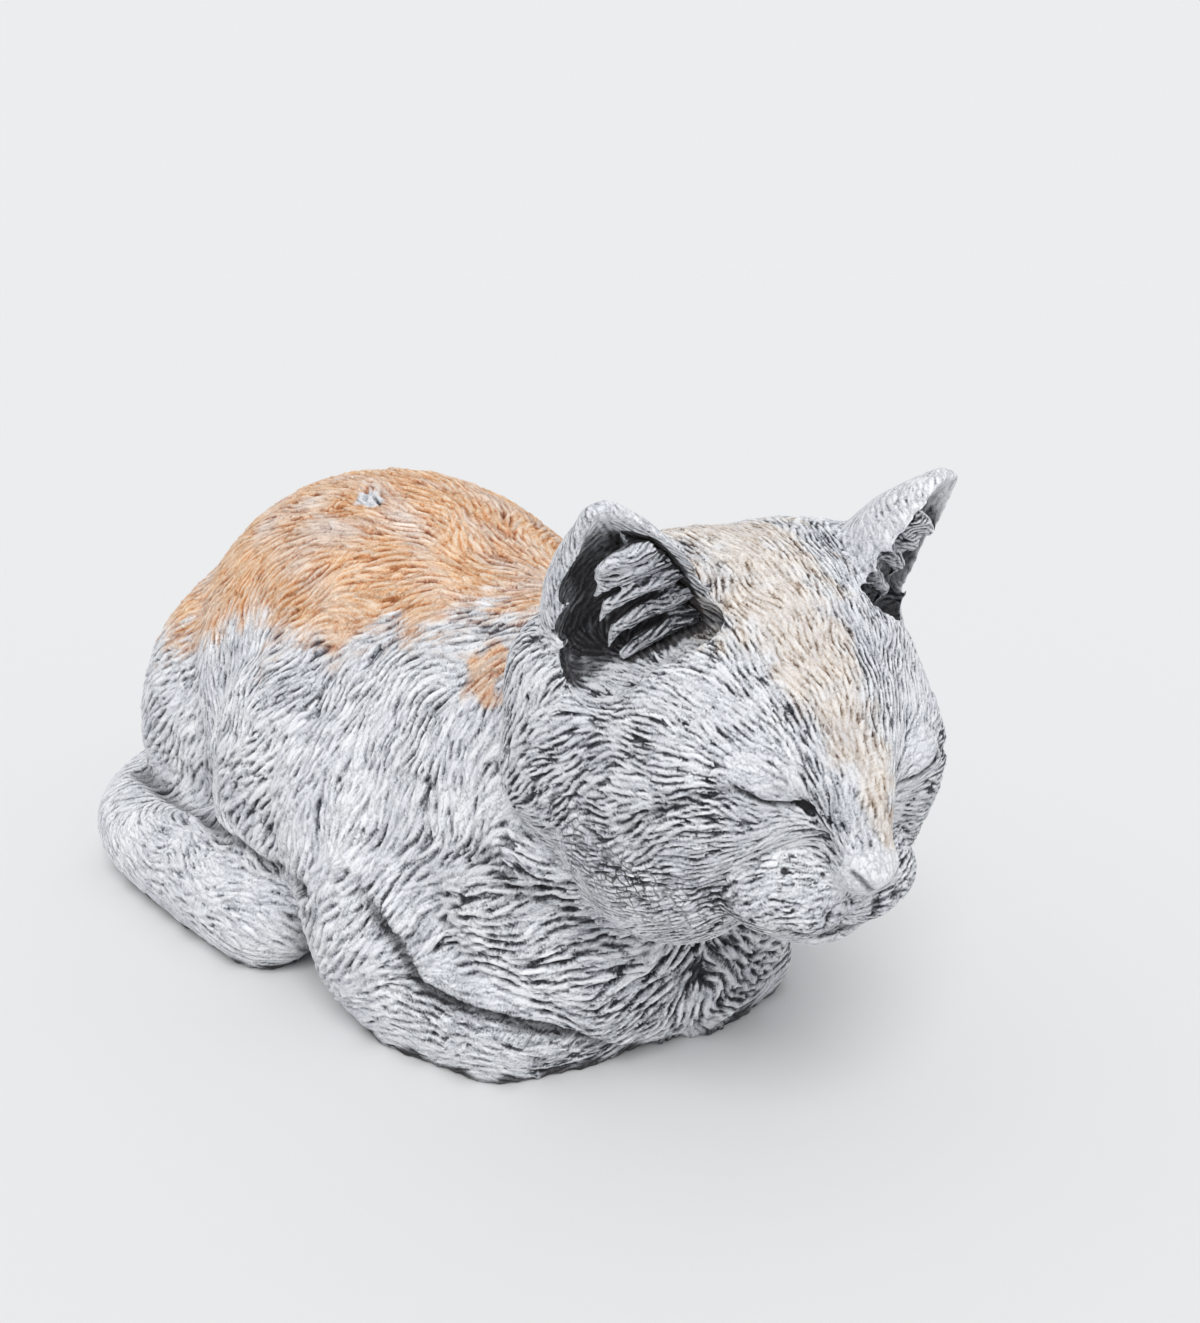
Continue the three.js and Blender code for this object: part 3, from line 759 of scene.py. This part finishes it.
def coat_fields(skin):
    """The coat's four values at each vertex, blended across the seams between sections."""
    table = np.array([COAT.get(name) or COAT[name.split("_", 1)[1]] for name in SECTIONS])
    fields = skin.gathered(table[skin.face_sections()])
    fields /= np.maximum(np.bincount(skin.quads.ravel(), minlength=len(skin.co)), 1)[:, None]
    return [skin.blurred(field, 8) for field in fields.T]


def groomed(skin, flow, coat, seed):
    """Lays locks, then strands, then combed lines. Gives how bright the stone is, each strand's tone and the
    place in a lock's lane."""
    pitch, length, depth, contrast = coat
    lock = pitch * 2.6, length * 1.3
    clump, _, clump_edge, lane = laid_strands(skin, flow, *lock, 2.2, 2.0, 0.16, seed, 0.7)
    skin.swell((clump - 0.6) * depth * 0.8)
    skin.refresh_normals()
    height, tone, edge, _ = laid_strands(skin, flow, pitch, length, 4.0, 1.2, 0.13, seed + 1)
    line = combed_lines(skin, flow, seed + 2)
    patchy = ease(-1.1, 0.8, ripple(skin.co, 11, seed + 3) + 0.6 * ripple(skin.co, 34, seed + 4))
    groove = ((1 - line) / 2) ** 2 * (0.45 + 0.55 * patchy)
    outline = ease(0.4, 0.92, edge) * (0.55 + 0.45 * patchy)
    skin.swell((height - 0.6 - 0.5 * groove - 0.35 * outline) * depth)
    relief = height - skin.blurred(height, 5)
    worn = clump - skin.blurred(clump, 10) - 0.2 * ease(0.5, 1, clump_edge)
    ridge = 0.84 + contrast * (0.9 * relief + 0.5 * worn - 1.0 * groove - 0.75 * outline)
    return np.maximum(ridge, 0.1), tone, lane


def smooth_skin(kept, voxel, rounds, crease):
    """The smooth form of these sections. It holds the lie of the coat and how sheltered each place is."""
    coarse = Skin(coarse_skin(kept, voxel, rounds))
    coarse.write("way", combed(coarse.co, coarse.normal))
    coarse.link_neighbours()
    hollow = ((coarse.blurred(coarse.co, 12) - coarse.co) * coarse.normal).sum(axis=1)
    coarse.write("shelter", sheltered(coarse.co, coarse.normal))
    coarse.swell(-np.clip(hollow, 0, 2) * crease)
    coarse.write_shape()
    skin = Skin(shown_mesh(coarse.mesh, "SUBSURF", levels=2, render_levels=2))
    skin.link_neighbours()
    return skin


def carve_lines(skin, lines, dark, in_head):
    """Presses these grooves into both sides of the statue. Gives the painted shade with theirs added."""
    for line, width, depth, painted_shade in lines:
        for side in on_both_sides(line, in_head):
            dark = np.maximum(dark, carve(skin, side, width, depth, painted_shade))
    return dark


def shape_face(skin):
    """Broadens the nose and fills the lips. Gives how low the coat lies at each vertex, from 0 to 1."""
    calm = nearness(skin, cast(BRIDGE), 12)
    aside = np.tanh(to_head(skin.co)[:, 0] / 4) * calm * 3.0
    skin.co += aside[:, None] * HEAD_AXES[:, 0]
    forehead = distance_to_line(skin.co, cast(FOREHEAD), FOREHEAD_WIDTHS)
    calm = np.maximum(calm, 0.8 * np.exp(-(forehead**2)))
    calm = np.maximum(calm, spread(skin, CALM_SPOTS, True))
    fuller = spread(skin, [(LIPS, 9, 3.0)], True)
    skin.co += fuller[:, None] * (HEAD_AXES @ np.array([0, -0.5, -0.85]))
    return calm


def write_fields(skin, **fields):
    """Writes the skin's shape and what the stone's colour reads."""
    for name, field in fields.items():
        skin.write(name, field)
    skin.write_shape()


def finished_skin(skin, in_head, seed):
    """Gives a smooth skin its creases, coat, painted shade, some dirt and stains."""
    on_ground = skin.co[:, 2] < 0.05
    # painted shade: darker where the form and the ground close in round a place
    dark = ease(0.45, 0.85, skin.read("shelter"))
    dark = carve_lines(skin, FACE_LINES if in_head else BODY_LINES, dark, in_head)
    calm = np.zeros(len(skin.co))
    if in_head:
        calm = shape_face(skin)
    else:
        # painted shadow in the groove between the tail and the haunch
        dark = np.maximum(dark, carve(skin, cast(TAIL_GROOVE), 3.2, 3.5, 0.6))
        # painted shadow under the ruff where it overhangs the forearm
        for line, hand in zip(on_both_sides(RUFF_FOLD, False), (1, -1)):
            dark = np.maximum(dark, fold(skin, line, hand))
    skin.refresh_normals()

    flow = laid_flat(skin.read("way", 3), skin.normal)
    wave = 0.13 if in_head else 0.2
    angle = wave * ripple(skin.co, 30, seed) + 0.07 * ripple(skin.co, 9, seed + 1)
    flow = turned(flow, skin.normal, angle)
    skin.swell(-2.2 * ease(0, 1, skin.read("tuck")))
    pitch, length, depth, contrast = coat_fields(skin)
    coat = pitch, length * (1 - 0.4 * calm), depth * (1 - 0.6 * calm), contrast * (1 - 0.6 * calm)
    ridge, tone, lane = groomed(skin, flow, coat, seed + 2)
    for pixel, radius in BUBBLES if in_head else []:
        pit = distance_to_line(skin.co, on_skin(skin, cast([pixel]))) / radius
        skin.swell(-np.clip(1.2 - pit, 0, 1) * radius * 1.3)
        # painted shade in the pits of the air bubbles
        dark = np.maximum(dark, np.clip(3 * (1.15 - pit), 0, 1))
    skin.co[:, 2] = np.where(on_ground, 0, np.maximum(skin.co[:, 2], 0))

    ginger, buff = stain_masks(skin, tone)
    ridge += 0.1 * ginger * (1 - ridge)
    # painted shade, and some dirt, darkening the grooves most
    shade_and_dirt = spread(skin, FACE_SHADE_AND_DIRT if in_head else BODY_SHADE_AND_DIRT, in_head)
    ridge -= shade_and_dirt * (0.2 + 0.9 * (1 - ridge))
    # darker towards the bottom, over the lowest 5 mm above the ground
    foot = 1 - ease(0, 5, skin.co[:, 2] + 1.5 * ripple(skin.co, 17, 31))
    dark = np.clip(np.maximum(dark, foot), 0, 1)
    ridge = np.clip(ridge - 0.35 * dark, 0, 1)
    cracked = spread(skin, [(CRACKED, 15, 1.0)] if in_head else [], True)
    write_fields(
        skin, ridge=ridge, tone=tone, dark=dark, ginger=ginger, buff=buff, lane=lane, cracked=cracked
    )
    return skin


# Stone: colours from the bottom of a groove to the top of a strand, in a screen's values
GREYS = [(30, 31, 36), (94, 96, 101), (182, 185, 189), (236, 238, 240), (252, 252, 252)]
GINGERS = [(106, 60, 36), (166, 102, 64), (212, 148, 100), (236, 194, 154), (248, 226, 202)]
BUFFS = [(54, 44, 38), (128, 106, 90), (202, 188, 173), (236, 227, 217), (249, 245, 240)]
WHITE = (255, 255, 255)
CRACK_COLOR = (0.05, 0.048, 0.05, 1)
# colours of the painted shade, also used for the darkening towards the bottom
SHADE_COLORS = (0.03, 0.03, 0.037, 1), (0.06, 0.053, 0.05, 1)


def stone_material(name, grain, hairy):
    """Stone that takes its colour from the skin's fields, this rough in its grain and in its hair lines."""
    material = bpy.data.materials.new(name)
    material.use_nodes = True
    tree = material.node_tree
    node, link = tree.nodes.new, tree.links.new
    shader = tree.nodes["Principled BSDF"]
    shader.inputs["Metallic"].default_value = 0
    shader.inputs["Specular IOR Level"].default_value = 0.3
    place = node("ShaderNodeTexCoord").outputs["Object"]

    def feed(socket, value):
        if isinstance(value, bpy.types.NodeSocket):
            link(value, socket)
        else:
            socket.default_value = value

    def attribute(label, output="Fac"):
        made = node("ShaderNodeAttribute")
        made.attribute_name = label
        return made.outputs[output]

    def ramp(factor, colors, low=0.0, high=1.0):
        """Blends these colours, at even steps from low to high."""
        made = node("ShaderNodeValToRGB")
        for index, color in enumerate(colors):
            spot = low + (high - low) * index / (len(colors) - 1)
            element = made.color_ramp.elements[index] if index < 2 else made.color_ramp.elements.new(spot)
            element.position = spot
            element.color = [(c / 255) ** 2.2 for c in color] + [1]
        link(factor, made.inputs["Fac"])
        return made.outputs["Color"]

    def mixed(factor, first, second, blend="MIX"):
        made = node("ShaderNodeMix")
        made.data_type = "RGBA"
        made.blend_type = blend
        for key, value in (("Factor", factor), ("A", first), ("B", second)):
            feed(next(s for s in made.inputs if s.name == key and s.enabled), value)
        return next(s for s in made.outputs if s.enabled)

    def maths(operation, first, second, clamp=True):
        made = node("ShaderNodeMath")
        made.operation = operation
        made.use_clamp = clamp
        feed(made.inputs[0], first)
        feed(made.inputs[1], second)
        return made.outputs[0]

    def ranged(value, low, high, new_low, new_high):
        made = node("ShaderNodeMapRange")
        for key, given in (
            ("Value", value), ("From Min", low), ("From Max", high), ("To Min", new_low), ("To Max", new_high)
        ):
            feed(made.inputs[key], given)
        return made.outputs["Result"]

    def noise(scale, detail=2, roughness=0.5, at=place, output="Fac"):
        made = node("ShaderNodeTexNoise")
        for key, value in (("Scale", scale), ("Detail", detail), ("Roughness", roughness), ("Vector", at)):
            feed(made.inputs[key], value)
        return made.outputs[output]

    def hair_lines():
        """Noise drawn out along each lock's lane."""
        stretch = node("ShaderNodeMapping")
        stretch.inputs["Scale"].default_value = (0.11, 0.85, 1)
        link(attribute("lane", "Vector"), stretch.inputs["Vector"])
        return noise(1, 2.5, 0.6, stretch.outputs["Vector"])

    def crack_lines():
        """The wavy edges between cells about 5 mm wide."""
        wavy = node("ShaderNodeVectorMath")
        wavy.operation = "MULTIPLY_ADD"
        link(noise(260, output="Color"), wavy.inputs[0])
        wavy.inputs[1].default_value = (4 * MM, 4 * MM, 4 * MM)
        link(place, wavy.inputs[2])
        cells = node("ShaderNodeTexVoronoi")
        cells.feature = "DISTANCE_TO_EDGE"
        cells.inputs["Scale"].default_value = 210
        link(wavy.outputs[0], cells.inputs["Vector"])
        return ranged(cells.outputs["Distance"], 0.02, 0.1, 1, 0)

    hair = hair_lines()
    speckle = noise(1300, 4, 0.7)
    cloud = noise(45, 4)
    grit = maths("MULTIPLY", maths("SUBTRACT", speckle, 0.5, False), 0.9, False)
    streak = maths("MULTIPLY", maths("SUBTRACT", hair, 0.5, False), hairy, False)
    ridge = maths("ADD", maths("ADD", attribute("ridge"), grit), streak)
    color = mixed(attribute("buff"), ramp(ridge, GREYS), ramp(ridge, BUFFS))
    color = mixed(attribute("ginger"), color, ramp(ridge, GINGERS))
    color = mixed(0.8, color, ramp(cloud, [(232, 233, 238), WHITE], 0.3, 0.7), "MULTIPLY")
    color = mixed(0.7, color, ramp(attribute("tone"), [(226, 226, 229), WHITE], 0.0, 0.7), "MULTIPLY")
    crack = maths("MULTIPLY", maths("MULTIPLY", cloud, 1.7), crack_lines())
    color = mixed(maths("MULTIPLY", crack, attribute("cracked")), color, CRACK_COLOR)
    # painted shade: the dark field turns the stone near black, with the darkening towards the bottom
    painted_shade = mixed(cloud, *SHADE_COLORS)
    color = mixed(maths("MULTIPLY", attribute("dark"), 0.85), color, painted_shade)
    link(color, shader.inputs["Base Color"])
    link(ranged(speckle, 0, 1, 0.78, 0.98), shader.inputs["Roughness"])
    bump = node("ShaderNodeBump")
    bump.inputs["Strength"].default_value = grain
    bump.inputs["Distance"].default_value = 0.6 * MM
    height = maths("ADD", maths("MULTIPLY", speckle, 0.6), maths("MULTIPLY", hair, hairy))
    link(height, bump.inputs["Height"])
    link(bump.outputs["Normal"], shader.inputs["Normal"])
    return material


MATERIALS = {
    "stone": stone_material("worn_grey_stone", 0.6, 1.0),
    "ginger_stone": stone_material("ginger_stained_stone", 0.6, 1.0),
    "buff_stone": stone_material("buff_stained_stone", 0.6, 0.6),
}
SLOT = {row["node"]: row["material_slot"] for row in frame["record"]["subparts"]}


# Parting the skins into pieces
def parted(skin, splits):
    """Splits a skin into one object for each section, or for each part of a large one: ten at most."""
    face_section = skin.face_sections()
    middle = skin.co[skin.quads].mean(axis=1)
    part = np.zeros(len(middle), dtype=np.int32)
    for name, cuts in splits.items():
        mine = face_section == SECTIONS.index(name)
        places = to_head(middle[mine]) if name == "head" else middle[mine]
        for axis in range(3):
            part[mine] = part[mine] * (len(cuts[axis]) + 1) + np.searchsorted(cuts[axis], places[:, axis])
    keys, part = np.unique(face_section * 10 + part, return_inverse=True)
    part = part.astype(np.int32)
    for _ in keys:
        skin.mesh.materials.append(None)
    skin.mesh.polygons.foreach_set("material_index", part)
    skin.mesh.attributes.new("part", "INT", "FACE").data.foreach_set("value", part)
    whole = placed("skin", skin.mesh)
    bpy.ops.object.select_all(action="DESELECT")
    bpy.context.view_layer.objects.active = whole
    whole.select_set(True)
    bpy.ops.object.mode_set(mode="EDIT")
    bpy.ops.mesh.select_all(action="SELECT")
    bpy.ops.mesh.separate(type="MATERIAL")
    bpy.ops.object.mode_set(mode="OBJECT")
    made = []
    for piece in list(bpy.context.selected_objects):
        key = keys[piece.data.attributes["part"].data[0].value]
        name = SECTIONS[key // 10]
        piece.name = f"{name}_carved_{key % 10 + 1}" if name in splits else f"{name}_carved"
        made.append((piece, name))
    return made


def kept_inside(place, depth):
    """The place itself, or moved so that it lies this deep inside the form."""
    for _ in range(3):
        surface, normal = solid_tree.find_nearest(place)[:2]
        short = depth * MM + (place - surface).dot(normal)
        if short <= 0:
            break
        place = place - normal * short
    return place


def extruded(bm, edges):
    """The new edges and vertices of a wall drawn out from these edges, not yet moved."""
    made = bmesh.ops.extrude_edge_only(bm, edges=edges)["geom"]
    return [[g for g in made if isinstance(g, kind)] for kind in (bmesh.types.BMEdge, bmesh.types.BMVert)]


def close_inwards(piece, steps, drop):
    """Closes a piece behind its rims: each rim is turned in and drawn by steps to a point inside the form,
    which lies this much lower than the rim's middle."""
    bm = bmesh.new()
    bm.from_mesh(piece.data)
    bm.normal_update()
    dark = bm.verts.layers.float["dark"]
    rims = [e for e in bm.edges if e.is_boundary]
    for edge in rims:
        edge.smooth = False
    normal = {v: v.normal.copy() for e in rims for v in e.verts}
    links = {}
    for edge in rims:
        for vert in edge.verts:
            links.setdefault(vert, []).append(edge)
    for edges in islands(rims, lambda edge: [other for vert in edge.verts for other in links[vert]]):
        verts = list(dict.fromkeys(v for e in edges for v in e.verts))
        way = {tuple(v.co): normal[v] for v in verts}
        middle = sum((v.co for v in verts), Vector()) / len(verts)
        middle = kept_inside(middle + Vector((0, 0, -drop * MM)), 9)
        for step in range(steps):
            edges, verts = extruded(bm, edges)
            for vert in verts:
                # painted shade: the caps inside the form are fully shaded
                vert[dark] = 1
                if step == 0:
                    vert.co = kept_inside(vert.co - way[tuple(vert.co)] * 1.5 * MM, 2)
                else:
                    nearer = vert.co + (middle - vert.co) / (steps + 1 - step)
                    vert.co = kept_inside(nearer, min(2.5 + step, 5))
                vert.co.z = max(vert.co.z, 2.5 * MM)
        bmesh.ops.pointmerge(bm, verts=extruded(bm, edges)[1], merge_co=middle)
    bm.to_mesh(piece.data)
    bm.free()


def finish_piece(piece, name):
    piece.data.materials.clear()
    piece.data.materials.append(MATERIALS[SLOT[name]])
    piece.data.polygons.foreach_set("material_index", np.zeros(len(piece.data.polygons), dtype=np.int32))
    piece.data.shade_smooth()
    piece.data.update()
    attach(piece, "root")
    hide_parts(name)


body = finished_skin(smooth_skin(BODY, 3.0 if fine else 3.8, rounds=7, crease=1.0), in_head=False, seed=100)
head = finished_skin(smooth_skin(HEAD, 2.0 if fine else 2.8, rounds=8, crease=0.2), in_head=True, seed=200)


# The underside: one flat slab inside the outline on which the statue stands
def underside(thickness=2):
    bm = bmesh.new()
    bm.from_mesh(body.mesh)
    kept = {e for e in bm.edges if e.is_boundary and max(v.co.z for v in e.verts) < 4 * MM}
    bmesh.ops.delete(bm, geom=bm.faces[:], context="FACES_ONLY")
    bmesh.ops.delete(bm, geom=[e for e in bm.edges if e not in kept], context="EDGES")
    bmesh.ops.delete(bm, geom=[v for v in bm.verts if not v.link_edges], context="VERTS")
    for vert in bm.verts:
        vert.co.z = 0
    bmesh.ops.triangle_fill(bm, edges=bm.edges[:], use_beauty=True)
    raised = bmesh.ops.extrude_face_region(bm, geom=bm.faces[:])["geom"]
    for vert in (g for g in raised if isinstance(g, bmesh.types.BMVert)):
        vert.co.z = thickness * MM
    bmesh.ops.recalc_face_normals(bm, faces=bm.faces[:])
    mesh = as_mesh(bm, "underside")
    # painted shade under the statue: the slab is set a little dark (dark 0.3)
    for label, value in (("ridge", 0.4), ("tone", 0.5), ("dark", 0.3), ("ginger", 0), ("buff", 0)):
        layer = mesh.attributes.new(label, "FLOAT", "POINT")
        layer.data.foreach_set("value", np.full(len(mesh.vertices), value, dtype=np.float32))
    piece = placed("underside", mesh)
    piece.data.materials.append(MATERIALS["stone"])
    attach(piece, "root")
    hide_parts("trunk")


underside()
for skin, splits in (
    (body, {"trunk": ([], [-60.0, 50.0], []), "rump": ([0.0], [], [])}),
    (head, {"head": ([-22.0, 0.0, 22.0], [], [5.0])}),
):
    for piece, name in parted(skin, splits):
        cupped = name in ("head", "right_ear", "left_ear")
        close_inwards(piece, steps=7 if cupped else 1, drop=45 if cupped else 0)
        finish_piece(piece, name)


# The locks inside the ears
def ear_fur(name):
    bm = bmesh.new()
    bm.from_mesh(blocked_out([name], 0.9 if fine else 1.4, grow=0.1))
    smooth_form(bm, 5, bm.verts[:])
    section = bm.faces.layers.int.new("section")
    for face in bm.faces:
        face[section] = SECTIONS.index(name)
    coarse = Skin(as_mesh(bm, name))
    coarse.write("shelter", sheltered(coarse.co, coarse.normal, reach=20))
    skin = Skin(shown_mesh(coarse.mesh, "SUBSURF", levels=1, render_levels=1))
    skin.link_neighbours()
    side = -1 if name.startswith("right") else 1
    flow = np.tile(HEAD_AXES @ np.array([side * 1.0, 0.1, -0.45]), (len(skin.co), 1))
    flow = turned(laid_flat(flow, skin.normal), skin.normal, 0.25 * ripple(skin.co, 12, 301))
    ridge, tone, lane = groomed(skin, flow, coat_fields(skin), 302)
    none = np.zeros(len(skin.co))
    # painted shade: darker where the ear closes in round the locks
    dark = ease(0.5, 0.95, skin.read("shelter"))
    # painted shade, darker towards the roots of the locks at the ear's inner side
    root = 1 - ease(36, 56, np.abs(to_head(skin.co)[:, 0]))
    ridge = np.clip(ridge - 0.35 * dark - 0.3 * root, 0, 1)
    write_fields(skin, ridge=ridge, tone=tone, dark=dark, ginger=none, buff=none, lane=lane)
    finish_piece(placed(name + "_carved", skin.mesh), name)


for name in EAR_FUR:
    ear_fur(name)


# Stage
def flat_color(name, color):
    material = bpy.data.materials.new(name)
    material.use_nodes = True
    shader = material.node_tree.nodes["Principled BSDF"]
    shader.inputs["Base Color"].default_value = (*color, 1)
    shader.inputs["Roughness"].default_value = 0.9
    return material


def set_stage():
    bm = bmesh.new()
    bmesh.ops.create_grid(bm, x_segments=1, y_segments=1, size=6)
    floor = placed("floor", as_mesh(bm, "floor"))
    floor.location.z = -0.4 * MM
    floor.data.materials.append(flat_color("pale_floor", (0.78, 0.78, 0.78)))

    world = bpy.data.worlds.new("studio")
    bpy.context.scene.world = world
    world.use_nodes = True
    node, link = world.node_tree.nodes.new, world.node_tree.links.new
    sky = world.node_tree.nodes["Background"]
    sky.inputs["Color"].default_value = (0.97, 0.98, 1.0, 1)
    sky.inputs["Strength"].default_value = 0.7
    backdrop = node("ShaderNodeBackground")
    backdrop.inputs["Color"].default_value = (0.843, 0.850, 0.860, 1)
    path = node("ShaderNodeLightPath")
    seen = path.outputs["Is Camera Ray"]
    for other in ("Is Glossy Ray", "Is Transmission Ray"):
        either = node("ShaderNodeMath")
        either.operation = "MAXIMUM"
        link(seen, either.inputs[0])
        link(path.outputs[other], either.inputs[1])
        seen = either.outputs[0]
    chosen = node("ShaderNodeMixShader")
    link(seen, chosen.inputs[0])
    link(sky.outputs[0], chosen.inputs[1])
    link(backdrop.outputs[0], chosen.inputs[2])
    link(chosen.outputs[0], world.node_tree.nodes["World Output"].inputs["Surface"])

    lamp = bpy.data.lights.new("soft_sun", "SUN")
    lamp.energy = 1.55
    lamp.angle = math.radians(35)
    sun = placed("soft_sun", lamp)
    sun.rotation_euler = Vector((0.36, 0.5, -0.79)).to_track_quat("-Z", "Y").to_euler()
    bpy.context.scene.view_settings.view_transform = "Standard"


set_stage()
